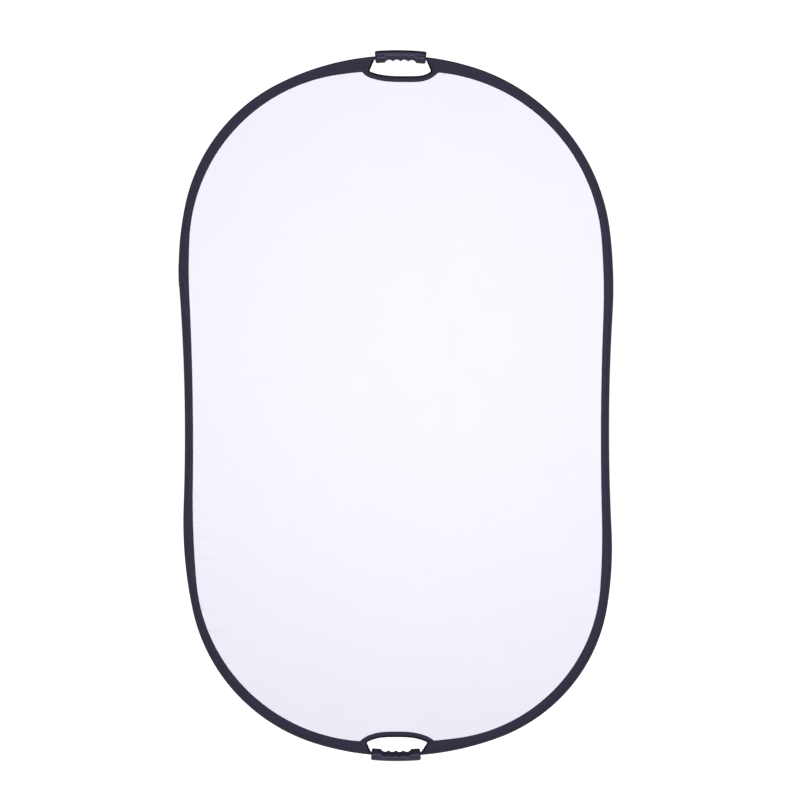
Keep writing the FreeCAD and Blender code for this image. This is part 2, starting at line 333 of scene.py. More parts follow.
def grip_reach(end, tuck):
    """Where the outline goes into the grip's two ends, as distances along it, in rising order."""
    middle = math.asin(HOLES[end]["shift"] / RING_RADIUS)
    half = (GRIP_LENGTH / 2 - tuck) / RING_RADIUS
    found = []
    for angle in (middle - half, middle + half):
        x = SIGN[end] * RING_RADIUS * math.sin(angle)
        found.append(crossing(QUARTER_OF[(SIGN[end], 1 if x > 0 else -1)], 0.0, X, x))
    return sorted(found)


def stations(first, last, spacing, fine=()):
    """Evenly spaced distances from first to last, three times closer inside the fine stretches."""
    marks = sorted({first, last, *[m for pair in fine for m in pair if first < m < last]})
    runs = []
    for a, b in zip(marks, marks[1:]):
        within = any(low <= (a + b) / 2 <= high for low, high in fine)
        count = max(2, math.ceil((b - a) / (spacing / 3 if within else spacing)))
        runs.append(np.linspace(a, b, count + 1)[:-1])
    return np.append(np.concatenate(runs), last)


# ---------------------------------------------------------------- meshes

def linked(name, mesh, material):
    mesh.materials.append(material)
    piece = bpy.data.objects.new(name, mesh)
    bpy.context.scene.collection.objects.link(piece)
    return piece


def new_piece(name, verts, faces, material, sharp_angle=None):
    mesh = bpy.data.meshes.new(name)
    mesh.from_pydata([tuple(v) for v in verts], [], [tuple(int(i) for i in f) for f in faces])
    bm = bmesh.new()
    bm.from_mesh(mesh)
    bmesh.ops.recalc_face_normals(bm, faces=bm.faces)
    bm.to_mesh(mesh)
    bm.free()
    mesh.shade_smooth()
    if sharp_angle is not None:
        mesh.set_sharp_from_angle(angle=math.radians(sharp_angle))
    return linked(name, mesh, material)


def grid_faces(rows, columns, offset=0, caps=True):
    """Faces of a tube of rows rings with columns points each, closed at both ends."""
    i, j = np.meshgrid(np.arange(rows - 1), np.arange(columns), indexing="ij")
    k = (j + 1) % columns
    quads = [i * columns + j, i * columns + k, (i + 1) * columns + k, (i + 1) * columns + j]
    faces = [list(f) for f in (np.stack(quads, -1).reshape(-1, 4) + offset)]
    if caps:
        faces.append([offset + n for n in range(columns)][::-1])
        faces.append([offset + (rows - 1) * columns + n for n in range(columns)])
    return faces


def grid_normals(grid):
    """Directions square to a tube's surface, worked out before it is cut into lengths."""
    around = np.roll(grid, -1, axis=1) - np.roll(grid, 1, axis=1)
    return unit(np.cross(np.gradient(grid, axis=0), around))


def set_normals(piece, normals):
    """Smooth shading that matches across the cuts between lengths."""
    own = np.array([v.normal for v in piece.data.vertices])
    flip = np.where((own * normals).sum(1, keepdims=True) < 0, -1.0, 1.0)
    piece.data.normals_split_custom_set_from_vertices([tuple(n) for n in normals * flip])


def tube_piece(name, grids, material, maps=(), sharp_angle=None, normals=()):
    """One piece of several capped tubes, with an optional map of distances along and across it."""
    faces = []
    offset = 0
    for grid in grids:
        faces += grid_faces(*grid.shape[:2], offset=offset)
        offset += grid.shape[0] * grid.shape[1]
    verts = np.concatenate([grid.reshape(-1, 3) for grid in grids])
    piece = new_piece(name, verts, faces, material, sharp_angle)
    if len(normals):
        set_normals(piece, np.concatenate([rows.reshape(-1, 3) for rows in normals]))
    if len(maps):
        spots = np.concatenate([rows.reshape(-1, 2) for rows in maps])
        layer = piece.data.uv_layers.new(name="cloth")
        index = np.zeros(len(piece.data.loops), int)
        piece.data.loops.foreach_get("vertex_index", index)
        layer.data.foreach_set("uv", spots[index].ravel())
    return piece


def cloth_map(along, insets, depths):
    """Distances along and across a folded cloth, with its back half set apart from its front."""
    return np.stack([np.broadcast_to(along[:, None], insets.shape), insets + 0.1 * (depths > 0)], -1)


def swept(points, outwards, insets, depths):
    """Grid of a section carried along a path: insets run inwards from it, depths along Y."""
    spots = points[:, None, :] - outwards[:, None, :] * insets[..., None]
    return np.stack([spots[..., 0], depths, spots[..., 1]], -1)


def folded(insets, fronts, backs, inner_insets, inner_depths):
    """Closed section of a cloth folded over an edge: outside from front to back, then inside."""
    all_insets = [insets[:, ::-1], insets[:, 1:], inner_insets[:, ::-1], inner_insets[:, 1:]]
    all_depths = [-fronts[:, ::-1], backs[:, 1:], inner_depths[:, ::-1], -inner_depths[:, 1:]]
    return np.concatenate(all_insets, 1), np.concatenate(all_depths, 1)


def repeated(row, count):
    return np.tile(row, (count, 1))


# ---------------------------------------------------------------- materials

COOL_GLOSS = (0.82, 0.80, 1.0, 1)


class Finish:
    """A procedural material while it is put together."""

    def __init__(self, name):
        self.material = bpy.data.materials.new(name)
        self.material.use_nodes = True
        self.tree = self.material.node_tree
        self.shader = self.tree.nodes["Principled BSDF"]

    def node(self, kind, links=(), **settings):
        """A node with its settings and default inputs, linked from (input, output socket) pairs."""
        made = self.tree.nodes.new("ShaderNode" + kind)
        for key, value in settings.items():
            if key.startswith("in_"):
                made.inputs[key[3:].replace("_", " ")].default_value = value
            else:
                setattr(made, key, value)
        for target, source in links:
            self.tree.links.new(source, made.inputs[target])
        return made

    def done(self, **sockets):
        """The material, with its shader's sockets linked or set."""
        for key, value in sockets.items():
            socket = self.shader.inputs[key.replace("_", " ")]
            if isinstance(value, bpy.types.NodeSocket):
                self.tree.links.new(value, socket)
            else:
                socket.default_value = value
        return self.material

    def place(self):
        return self.node("TexCoord").outputs["Object"]

    def panel_place(self):
        """Object coordinates turned so that the panel's width and height are X and Y."""
        return self.node("Mapping", [("Vector", self.place())], in_Rotation=(-math.pi / 2, 0, 0)).outputs[0]

    def cloth_place(self):
        return self.node("UVMap", uv_map="cloth").outputs[0]

    def times(self, first, second):
        return self.node("Math", [(0, first), (1, second)], operation="MULTIPLY").outputs[0]

    def weave(self, vector, pitch):
        """Height of a plain weave: threads over and under each other at that pitch."""
        waves = [
            self.node("TexWave", [("Vector", vector)], bands_direction=direction,
                      in_Scale=TURN / (20 * pitch), in_Distortion=0.35, in_Detail=1.0, in_Detail_Scale=0.4)
            for direction in ("X", "Y")
        ]
        return self.times(*[wave.outputs["Fac"] for wave in waves])

    def noise(self, vector, scale, detail=3.0, roughness=0.55):
        return self.node("TexNoise", [("Vector", vector)], in_Scale=scale, in_Detail=detail,
                         in_Roughness=roughness).outputs["Fac"]

    def cells(self, vector, scale):
        return self.node("TexVoronoi", [("Vector", vector)], in_Scale=scale).outputs["Distance"]

    def ramp(self, value, low, high, **settings):
        """Value from 0 to 1 mapped to low to high."""
        return self.node("MapRange", [("Value", value)], in_To_Min=low, in_To_Max=high, **settings).outputs[0]

    def tint(self, share, dark, light):
        """Mix of two colours. The first may be another tint."""
        made = self.node("Mix", [(0, share)], data_type="RGBA")
        if isinstance(dark, bpy.types.NodeSocket):
            self.tree.links.new(dark, made.inputs[6])
        else:
            made.inputs[6].default_value = (*dark, 1)
        made.inputs[7].default_value = (*light, 1)
        return made.outputs[2]

    def bump(self, height, distance, strength, after=None):
        links = [("Height", height)] + ([("Normal", after)] if after else [])
        return self.node("Bump", links, in_Distance=distance, in_Strength=strength).outputs[0]


def white_cloth():
    made = Finish("white_coated_cloth")
    vector = made.panel_place()
    threads = made.bump(made.weave(vector, 0.45 * MM), 0.05 * MM, 0.6)
    return made.done(
        Base_Color=made.tint(made.noise(vector, 9.0, 4.0), (0.862, 0.846, 0.945), (0.890, 0.873, 0.970)),
        Roughness=made.ramp(made.noise(vector, 60.0), 0.62, 0.80),
        Normal=made.bump(made.noise(vector, 26.0, 2.0), 0.5 * MM, 0.5, threads),
        Specular_IOR_Level=0.25, Sheen_Weight=0.05, Sheen_Roughness=0.5,
    )


def silver_cloth():
    made = Finish("silver_laminated_cloth")
    vector = made.panel_place()
    facets = made.bump(made.cells(vector, 210.0), 0.35 * MM, 0.7)
    threads = made.bump(made.weave(vector, 0.6 * MM), 0.06 * MM, 0.7, facets)
    return made.done(
        Base_Color=made.tint(made.noise(vector, 14.0, 4.0), (0.66, 0.67, 0.69), (0.80, 0.81, 0.83)),
        Roughness=made.ramp(made.noise(vector, 45.0), 0.24, 0.42),
        Normal=made.bump(made.noise(vector, 34.0, 5.0), 1.2 * MM, 0.7, threads),
        Metallic=0.92,
    )


def black_cloth(name, dark, light, pitch, rough, gloss, sheen):
    made = Finish(name)
    place = made.place()
    threads = made.weave(made.cloth_place(), pitch)
    worn = made.noise(place, 40.0, 5.0)
    height = made.bump(threads, 0.10 * MM, 0.8)
    return made.done(
        Base_Color=made.tint(made.ramp(made.times(threads, worn), 0.0, 2.2), dark, light),
        Roughness=made.ramp(worn, rough - 0.08, rough + 0.1),
        Normal=made.bump(made.noise(place, 110.0), 0.35 * MM, 0.6, height),
        Specular_IOR_Level=gloss, Specular_Tint=COOL_GLOSS,
        Sheen_Weight=sheen, Sheen_Roughness=0.4, Sheen_Tint=(0.78, 0.76, 1.0, 1),
    )


def black_thread():
    made = Finish("black_thread")
    place = made.place()
    strands = made.node("TexWave", [("Vector", place)], bands_direction="DIAGONAL", in_Scale=900.0,
                        in_Distortion=1.0).outputs["Fac"]
    return made.done(
        Base_Color=made.tint(made.noise(place, 900.0), (0.014, 0.013, 0.020), (0.045, 0.042, 0.058)),
        Roughness=made.ramp(made.noise(place, 300.0), 0.40, 0.65),
        Normal=made.bump(strands, 0.05 * MM, 0.6),
    )


def grip_plastic():
    """Fine-textured moulding, with a painted highlight along its bead and painted shade underneath."""
    made = Finish("black_grip_plastic")
    place = made.place()
    worn = made.noise(place, 55.0, 6.0, 0.65)
    # The map's second number paints light: above 0 a painted highlight on the bead, below 0 painted shade.
    painted_light_share = made.node("SeparateXYZ", [(0, made.cloth_place())]).outputs[1]
    tone_and_painted_highlight = made.tint(painted_light_share, made.tint(worn, (0.0175, 0.0162, 0.0350), (0.0270, 0.0250, 0.0500)),
                       (0.125, 0.112, 0.175))
    # Painted shade: the grip's colour darkens from just under the bead towards its foot.
    hollow = made.ramp(painted_light_share, 0.0, 1.0, in_From_Min=0.0, in_From_Max=-1.0)
    spark = made.bump(made.cells(place, 1500.0), 0.06 * MM, 0.55)
    return made.done(
        Base_Color=made.tint(hollow, tone_and_painted_highlight, (0.0070, 0.0065, 0.0150)),
        Roughness=made.ramp(worn, 0.50, 0.64),
        Normal=made.bump(made.noise(place, 240.0), 0.12 * MM, 0.35, spark),
        Specular_IOR_Level=0.26, Specular_Tint=COOL_GLOSS,
    )


def steel(name, dark, light, low_rough, high_rough, metallic):
    made = Finish(name)
    stretched = made.node("Mapping", [("Vector", made.place())], in_Scale=(400.0, 900.0, 60.0)).outputs[0]
    brushed = made.noise(stretched, 1.0, 5.0)
    return made.done(
        Base_Color=made.tint(brushed, dark, light),
        Roughness=made.ramp(brushed, low_rough, high_rough),
        Normal=made.bump(brushed, 0.03 * MM, 0.4),
        Metallic=metallic,
    )


def floor_finish():
    made = Finish("pale_studio_floor")
    shade = made.noise(made.place(), 3.0)
    return made.done(
        Base_Color=made.tint(shade, (0.80, 0.80, 0.81), (0.86, 0.86, 0.87)),
        Roughness=made.ramp(shade, 0.75, 0.9),
        Emission_Color=(1, 1, 1, 1), Emission_Strength=0.92,
    )


def backdrop_finish():
    return Finish("plain_backdrop").done(
        Base_Color=(0, 0, 0, 1), Specular_IOR_Level=0, Emission_Color=(1, 1, 1, 1), Emission_Strength=1.1,
    )


WHITE = white_cloth()
SILVER = silver_cloth()
NYLON = black_cloth("black_woven_nylon", (0.0130, 0.0114, 0.0260), (0.0250, 0.0224, 0.0435),
                    0.50 * MM, 0.58, 0.22, 0.02)
TAPE = black_cloth("black_bias_tape", (0.0012, 0.0012, 0.0032), (0.0040, 0.0038, 0.0085),
                   0.35 * MM, 0.66, 0.07, 0.0)
THREAD = black_thread()
PLASTIC = grip_plastic()
SPRING = steel("blued_spring_steel", (0.10, 0.10, 0.13), (0.22, 0.22, 0.26), 0.25, 0.45, 1.0)
PLATED = steel("plated_steel", (0.42, 0.42, 0.43), (0.60, 0.60, 0.61), 0.22, 0.42, 1.0)
BLACKED = steel("blackened_screw_steel", (0.030, 0.030, 0.034), (0.070, 0.070, 0.076), 0.30, 0.50, 0.9)


# ---------------------------------------------------------------- sleeve

# Section of the sleeve in mm: distance inside the outline and height of the cloth over y = 0.
CHANNEL = np.array([(0.0, 0.0), (0.15, 1.1), (0.6, 2.1), (1.4, 2.95), (2.6, 3.4), (4.0, 3.5), (5.4, 3.35),
                    (6.7, 2.85), (7.6, 2.2), (8.4, 1.55), (9.2, 1.12), (10.0, 1.42)]) * MM
CAVITY = np.array([(0.6, 0.0), (0.75, 1.3), (1.4, 2.2), (3.0, 2.8), (5.0, 2.8), (6.8, 2.2), (7.8, 1.4),
                   (8.8, 0.78)]) * MM
# The hem along the flange's inner edge, by distance from that edge.
HEM = np.array([(0.0, 0.95), (0.35, 1.45), (0.9, 1.78), (1.7, 1.85), (2.5, 1.66), (3.2, 1.22), (3.9, 1.48),
                (4.8, 1.60), (8.0, 1.50), (60.0, 1.50)]) * MM
FLANGE_ROWS = np.array([0.10, 0.26, 0.42, 0.57, 0.69, 0.78, 0.85, 0.905, 0.95, 0.98, 1.0])
FLANGE_INSIDE = 0.78 * MM
FLANGE_LIMITS = (5 * MM, 60 * MM)
CHANNEL_STITCH = 9.2 * MM
HEM_STITCH = 3.2 * MM
NARROWEST = 7.7 * MM
# How far from the middle of an end the hand hole can reach, and how far its sides cut the flange.
HOLE_REACH = 0.15
SIDE_REACH = 30 * MM
FINE_REACH = 45 * MM
GRIP_TUCK = 4 * MM
SLEEVE_STEP = 2.4 * MM
# Rows built past both ends of a length so that its shading matches its neighbours', then cut off.
OVERLAP = 3


def hole_sides():
    """The hand holes' slanted sides: middle of the grip, foot, neck, and the way out of the hole."""
    found = []
    for end, hole in HOLES.items():
        for x_foot, x_neck in zip(hole["feet"], hole["necks"]):
            foot = SIGN[end] * np.array([x_foot, hole["foot_z"]])
            neck = SIGN[end] * np.array([x_neck, hole["neck_z"]])
            found.append((SIGN[end] * hole["shift"], foot, neck, np.sign(foot[0] - neck[0])))
    return found


def fine_stretches():
    """Stretches beside the hand holes, where the sleeve is cut to shape."""
    found = []
    for end in HOLES:
        first, last = grip_reach(end, 0.0)
        found += [(first - FINE_REACH, first), (last, last + FINE_REACH)]
    return found


SIDES = hole_sides()
FINE = fine_stretches()


def cross(first, second):
    return first[..., 0] * second[..., 1] - first[..., 1] * second[..., 0]


def flange_width(along):
    """Width of the sleeve from the outline to its inner edge, cut away beside the hand holes."""
    points, outwards = outer.walk(along)
    low, high = (np.full(len(points), limit) for limit in FLANGE_LIMITS)
    for _ in range(40):
        middle = (low + high) / 2
        inside, _ = border.locate(points - outwards * middle[:, None])
        low, high = np.where(inside < 0, middle, low), np.where(inside < 0, high, middle)
    width = (low + high) / 2
    for grip_middle, foot, neck, away in SIDES:
        gap = cross(points - foot, neck - foot) / cross(outwards, neck - foot)
        beside_hole = (np.abs(points[:, 0]) < HOLE_REACH) & (points[:, 1] * neck[1] > 0)
        beside_hole &= (points[:, 0] - (foot[0] + neck[0]) / 2) * away < SIDE_REACH
        beside_hole &= (points[:, 0] - grip_middle) * away > 0
        width = np.where(beside_hole, np.clip(gap, NARROWEST, width), width)
    return width


def edge_distance(spots, insets, width):
    """Distance of each flange point from the nearest finished edge of the flange."""
    inside, _ = border.locate(spots.reshape(-1, 2))
    nearest = np.minimum(-inside.reshape(insets.shape), width[:, None] - insets)
    for _, foot, neck, away in SIDES:
        edge = unit(neck - foot)
        side = cross(spots - foot, edge) * away * np.sign(edge[1])
        valid = (side > 0) & (spots[..., 1] * neck[1] > 0)
        nearest = np.where(valid, np.minimum(nearest, side), nearest)
    return np.maximum(nearest, 0.0)


def sleeve_grid(along):
    """Points of the sleeve's closed section at each station, with its weave coordinates."""
    points, outwards = outer.walk(along)
    width = flange_width(along)[:, None]
    squeeze = np.minimum(1.0, (width - 0.5 * MM) / CHANNEL[-1, 0])
    channel = CHANNEL[:, 0] * squeeze
    flange = channel[:, -1:] + (width - channel[:, -1:]) * FLANGE_ROWS
    spots = points[:, None, :] - outwards[:, None, :] * flange[..., None]
    from_edge = edge_distance(spots, flange, width[:, 0])
    loose = smooth_step((from_edge - HEM_STITCH) / (3 * MM))
    loose *= smooth_step((flange - CHANNEL_STITCH) / (4 * MM))
    puff = sum(size * MM * ripple(along, outer.length, wavelength * MM, seed)
               for size, wavelength, seed in ((0.16, 17, 3), (0.10, 7, 4)))
    lift = np.sin(math.pi * np.clip(CHANNEL[:, 0] / CHANNEL_STITCH, 0, 1))
    faces = []
    for seed in (11, 12):
        gather = 0.10 * MM * ripple(along, outer.length, 9 * MM, seed)
        heights = np.interp(from_edge, *HEM.T) + 0.6 * loose * (puff + gather)[:, None]
        faces.append(np.concatenate([CHANNEL[:, 1] + gather[:, None] * lift, heights], 1))
    cavity = CAVITY[:, 0] * squeeze
    inner = np.concatenate([cavity, cavity[:, -1:] + 0.2 * MM, width - 0.1 * MM], 1)
    inner_depths = repeated([*CAVITY[:, 1], FLANGE_INSIDE, FLANGE_INSIDE], len(along))
    insets, depths = folded(np.concatenate([channel, flange], 1), *faces, inner, inner_depths)
    return swept(points, outwards, insets, depths), cloth_map(along, insets, depths)


def with_lips(length, along, grid, spots):
    """Sleeve rows with their overlap cut off, and a pressed-in lip where the length has one."""
    normals = grid_normals(grid)
    widest = np.abs(grid[OVERLAP, :, 1]).argmax()
    outwards = normals * np.sign(normals[OVERLAP, widest, 1] * grid[OVERLAP, widest, 1])
    parts = [[rows[OVERLAP:-OVERLAP]] for rows in (grid, normals, spots)]
    for station, cut, step in ((along[0], OVERLAP, -1), (along[-1], -OVERLAP - 1, 1)):
        if length.has_lip_at(outer.walk(station, TAPE_MIDDLE)[0][0][1]):
            share = LIP / SLEEVE_STEP
            edge, weave = (rows[cut] + (rows[cut + step] - rows[cut]) * share for rows in (grid, spots))
            for part, row in zip(parts, (edge - outwards[cut] * LIP_INSET, normals[cut], weave)):
                part.insert(0 if step < 0 else len(part), row[None])
    return [np.concatenate(part) for part in parts]


def build_sleeve(length):
    built = []
    for first, last in spans(length, grip_reach(length.end, GRIP_TUCK)):
        along = stations(first, last, SLEEVE_STEP, FINE)
        extra = SLEEVE_STEP * np.arange(1, OVERLAP + 1)
        grid, spots = sleeve_grid(np.concatenate([first - extra[::-1], along, last + extra]))
        built.append(with_lips(length, along, grid, spots))
    grids, normals, maps = zip(*built)
    piece = tube_piece(f"edge_sleeve_{length.name}", grids, NYLON, maps, normals=normals)
    length.stands_for(piece, "sleeve")
    length.bend(piece)
    return piece


sleeves = {length.name: build_sleeve(length) for length in LENGTHS}


# ---------------------------------------------------------------- hoop, ferrule and lap

# Rolled strip in mm: distance inside the outline and depth.
HOOP_SECTION = np.array([(1.35, -2.25), (2.05, -2.25), (2.2, -2.1), (2.2, 2.1), (2.05, 2.25), (1.35, 2.25),
                         (1.2, 2.1), (1.2, -2.1)]) * MM
HOOP_STEP = 8 * MM
# The crimped ferrule in mm: half width, half depth and depth of its crimps, outside and in its bore.
FERRULE_SKINS = ((0.95, 2.72, 0.14), (0.56, 2.30, 0.0))
FERRULE_MIDDLE = 1.7
CRIMPS = (0.2, 0.5, 0.8)
# The hoop's and the sleeve's ends meet in the fourth length from the middle, upwards.
LAP_LENGTH = LENGTHS[3]


def build_hoop(length):
    grids = []
    for first, last in spans(length):
        along = stations(first, last, HOOP_STEP)
        grids.append(swept(*outer.walk(along), *(repeated(row, len(along)) for row in HOOP_SECTION.T)))
    piece = tube_piece(f"spring_hoop_{length.name}", grids, SPRING, sharp_angle=50)
    length.stands_for(piece, "hoop")
    length.bend(piece)


def wrapped_stations(node, spacing):
    """Distances along the top left of the outline that a CAD piece around the hoop takes up."""
    low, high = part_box(node)
    return stations(crossing(TOP_LEFT, 0.0, Z, high.z), crossing(TOP_LEFT, 0.0, Z, low.z), spacing)


def build_ferrule():
    """Crimped steel sleeve over the hoop's ends: an outer skin and a bore, joined at both ends."""
    along = wrapped_stations("hoop_ferrule", 0.6 * MM)
    share = (along - along[0]) / (along[-1] - along[0])
    dents = sum(np.exp(-((share - place) / 0.045) ** 2) for place in CRIMPS)
    turn = np.linspace(0, TURN, 32, endpoint=False)
    across, deep = (np.sign(wave) * np.abs(wave) ** 0.35 for wave in (np.cos(turn), np.sin(turn)))
    skins = []
    for half_width, half_depth, crimp in FERRULE_SKINS:
        insets = (FERRULE_MIDDLE + (half_width - crimp * dents)[:, None] * across) * MM
        depths = (half_depth - crimp * dents)[:, None] * deep * MM
        skins.append(swept(*outer.walk(along), insets, depths).reshape(-1, 3))
    rows, columns, size = len(along), len(turn), len(skins[0])
    faces = grid_faces(rows, columns, 0, caps=False) + grid_faces(rows, columns, size, caps=False)
    for row in (0, rows - 1):
        for j in range(columns):
            a, b = row * columns + j, row * columns + (j + 1) % columns
            faces.append([a, b, b + size, a + size])
    piece = new_piece("crimped_ferrule", np.concatenate(skins), faces, PLATED, 40)
    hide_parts("hoop_ferrule")
    LAP_LENGTH.bend(piece)


def build_lap():
    """Patch of the sleeve's own cloth, sewn over the place where its two ends meet."""
    along = wrapped_stations("sleeve_lap", 0.8 * MM)
    rim = np.minimum(along - along[0], along[-1] - along)
    thick = (0.12 + 0.5 * smooth_step(rim / (1.2 * MM)) + 0.08 * ripple(along, outer.length, 6 * MM, 21)) * MM
    skin = CHANNEL[:10]
    slope = unit(np.gradient(skin, axis=0))
    out = np.stack([-slope[:, 1], slope[:, 0]], 1)
    out[0] = (-1.0, 0.0)
    top = skin + out * thick[:, None, None]
    under = np.broadcast_to(skin + out * 0.03 * MM, top.shape)
    insets, depths = folded(top[..., 0], top[..., 1], top[..., 1], under[..., 0], under[..., 1])
    grid = swept(*outer.walk(along), insets, depths)
    piece = tube_piece("sleeve_lap_patch", [grid], NYLON, [cloth_map(along, insets, depths)], 50)
    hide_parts("sleeve_lap")
    LAP_LENGTH.bend(piece)


for length in LENGTHS:
    build_hoop(length)
build_ferrule()
build_lap()


# ---------------------------------------------------------------- hand holes

# Sections in mm: distance from the hole's edge into the cloth, and height over y = 0.
FACING = np.array([(1.5, 1.30), (3.5, 1.42), (5.0, 1.50), (8.0, 1.52), (10.2, 1.45), (11.1, 1.18),
                   (12.0, 1.45), (12.9, 1.50), (13.5, 1.32), (13.8, 1.00)]) * MM
FACING_INSIDE = 0.78 * MM
FACING_STEP = 0.8 * MM
FACING_TAIL = 26 * MM
FACING_ROUNDING = 5 * MM
# Highest that the facing can stand under the flange, and how much higher where it comes out.
FACING_CEILING = (1.12 * MM, 0.9 * MM)
BINDING = np.array([(0.0, 0.0), (0.12, 0.8), (0.5, 1.5), (1.1, 2.0), (1.9, 2.2), (2.7, 2.12), (3.4, 1.82),
                    (3.9, 1.75), (4.3, 1.66), (4.5, 1.5)]) * MM
BINDING_INSIDE = np.array([(0.5, 0.0), (0.55, 0.8), (1.0, 1.3), (2.0, 1.42), (4.4, 1.42)]) * MM
RIM_STEP = 0.6 * MM
RIM_ROUNDING = 1.5 * MM


def hole_curve(end):
    """The hand hole's curved side from its left corner to its right one, end upwards."""
    hole = HOLES[end]
    low_x, low_z = hole["low"]
    share = np.linspace(0, 1, 60)
    left, right = (
        np.stack([low_x + (foot - low_x) * share, low_z + (hole["foot_z"] - low_z) * share ** power], 1)
        for foot, power in zip(hole["feet"], hole["powers"])
    )
    return np.concatenate([left[::-1], right[1:]])


def distances(path):
    """Distance of each point of a path from its start."""
    return np.append(0, np.cumsum(np.linalg.norm(np.diff(path, axis=0), axis=1)))


def picked(path, places):
    """Points of a path at distances from its start."""
    reach = distances(path)
    return np.stack([np.interp(places, reach, row) for row in path.T], 1)


def resampled(path, spacing):
    whole = distances(path)[-1]
    return picked(path, np.linspace(0, whole, max(3, round(whole / spacing))))


def rounded(path, spacing, radius):
    """Path with its corners rounded off, its two ends kept."""
    path = resampled(path, spacing)
    reach = round(3 * radius / spacing)
    weights = np.exp(-0.5 * (np.arange(-reach, reach + 1) * spacing / radius) ** 2)
    head = 2 * path[0] - path[reach:0:-1]
    tail = 2 * path[-1] - path[-2:-reach - 2:-1]
    longer = np.concatenate([head, path, tail])
    return np.stack([np.convolve(row, weights / weights.sum(), mode="valid") for row in longer.T], 1)


def right_of(path):
    """Directions square to a path, on its right-hand side."""
    along = unit(np.gradient(path, axis=0))
    return np.stack([along[:, 1], -along[:, 0]], 1)


def beside(path, reach):
    """Path moved to its right, into the cloth."""
    return path + right_of(path) * reach


def extended(curve, reach, slopes):
    """Path carried on at both ends, at the given slopes."""
    first, last = (unit(np.array([side, slope])) for side, slope in zip((-1.0, 1.0), slopes))
    return np.concatenate([[curve[0] + first * reach], curve, [curve[-1] + last * reach]])


def hole_rim(end):
    """Whole sewn rim of the hand hole: down one slanted side, along the curve, up the other."""
    hole = HOLES[end]
    left, right = ([neck, hole["neck_z"] + 0.5 * MM] for neck in hole["necks"])
    return rounded(np.concatenate([[left], hole_curve(end), [right]]), RIM_STEP, RIM_ROUNDING)


def build_facing(end):
    """Flat strip sewn to both cloths along the hand hole's curved side, held down under the flange."""
    path = extended(hole_curve(end), FACING_TAIL, HOLES[end]["flares"])
    path = rounded(path, FACING_STEP, FACING_ROUNDING)
    path, across = SIGN[end] * path, SIGN[end] * right_of(path)
    reach = np.arange(len(path)) * FACING_STEP
    puff = 0.10 * MM * ripple(reach, reach[-1], 8 * MM, 31)[:, None] * (FACING[:, 0] > 4 * MM)
    spots = path[:, None, :] + across[:, None, :] * FACING[:, :1]
    inside = border.locate(spots.reshape(-1, 2))[0].reshape(puff.shape)
    ceiling = FACING_CEILING[0] + FACING_CEILING[1] * smooth_step((inside - 0.3 * MM) / (2.5 * MM))
    heights = np.minimum(FACING[:, 1] + puff, ceiling)
    insets = repeated([*FACING[:, 0], FACING[-1, 0], FACING[0, 0]], len(path))
    depths = np.concatenate([heights, np.full((len(path), 2), FACING_INSIDE)], 1)
    grids = [swept(path, -across, insets, face * depths) for face in (-1, 1)]
    piece = tube_piece(f"{end}_hole_facing", grids, NYLON, [cloth_map(reach, insets, 0)] * 2, 50)
    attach(piece, END_BODY[end])
    return piece


def build_binding(end):
    """Bias tape folded over the raw edge all the way round the sewn sides of the hand hole."""
    path = hole_rim(end)
    path, across = SIGN[end] * path, SIGN[end] * right_of(path)
    reach = np.arange(len(path)) * RIM_STEP
    heights = BINDING[:, 1] * (1 + 0.07 * ripple(reach, reach[-1], 6 * MM, 41))[:, None]
    inner = (repeated(row, len(path)) for row in BINDING_INSIDE.T)
    insets, depths = folded(repeated(BINDING[:, 0], len(path)), heights, heights, *inner)
    grid = swept(path, -across, insets, depths)
    piece = tube_piece(f"{end}_hole_binding", [grid], TAPE, [cloth_map(reach, insets, depths)], 60)
    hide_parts(f"{end}_hand_binding")
    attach(piece, END_BODY[end])


facings = {end: build_facing(end) for end in HOLES}
for end in HOLES:
    build_binding(end)


# ---------------------------------------------------------------- cloths

UNDER_FLANGE = 6 * MM
CLOTH_THICKNESS = 0.6 * MM
CLOTH_STEP = 3.2 * MM
CLOSEST = 1.3 * MM
# Rows of points inside the flange's edge, and beside the hand holes' curved sides.
RINGS = np.array([-2.5, 0.5, 3, 5.5, 8, 11, 14.5, 18.5, 23, 28, 34, 41, 50]) * MM
HOLE_RINGS = np.array([5, 9, 12.5, 15, 18, 21, 26, 32]) * MM
# The faint waves all over the cloths: wavelength in metres and size in mm.
WAVES = ((0.42, 0.50), (0.31, 0.35), (0.23, 0.22), (0.17, 0.12))


def cloth_height(points):
    """How far the stretched cloths stand out of plane: sewing wrinkles along the edge, faint waves."""
    inside, along = border.locate(points)
    near = np.maximum(inside, 0.0)
    lower_left = np.exp(-(((along - 0.60 * border.length) / 0.35) ** 2))
    corners = 0.10 + 0.28 * lower_left + 0.10 * (1 + ripple(along, border.length, 0.5, 51))
    fans = ripple(along, border.length, 15 * MM, 52) * np.exp(-near / (16 * MM))
    longer = ripple(along, border.length, 42 * MM, 53) * np.exp(-near / (38 * MM))
    edge = MM * corners * smooth_step(near / (7 * MM)) * (0.9 * fans + 1.1 * longer)
    waves = np.zeros(len(points))
    draw = np.random.default_rng(54)
    for wavelength, size in WAVES:
        turn = draw.uniform(0, math.pi)
        across = points @ (math.cos(turn), math.sin(turn))
        waves += size * MM * np.sin(TURN * across / wavelength + draw.uniform(0, 6))
    away = np.ones(len(points))
    for end, hole in HOLES.items():
        gap = (points - SIGN[end] * np.array([hole["shift"], hole["low"][1]])) / (0.10, 0.04)
        away *= 1 - np.exp(-(gap ** 2).sum(1))
    return (edge + waves * smooth_step(near / 0.10)) * away


def hole_cutter(end):
    """Closed path that the cloths are cut to at a hand hole, inside the folded tape."""
    path = beside(hole_rim(end), 1.5 * MM)
    above = np.array([[path[-1][0], 0.9], [path[0][0], 0.9]])
    return SIGN[end] * np.concatenate([path[::2], above])


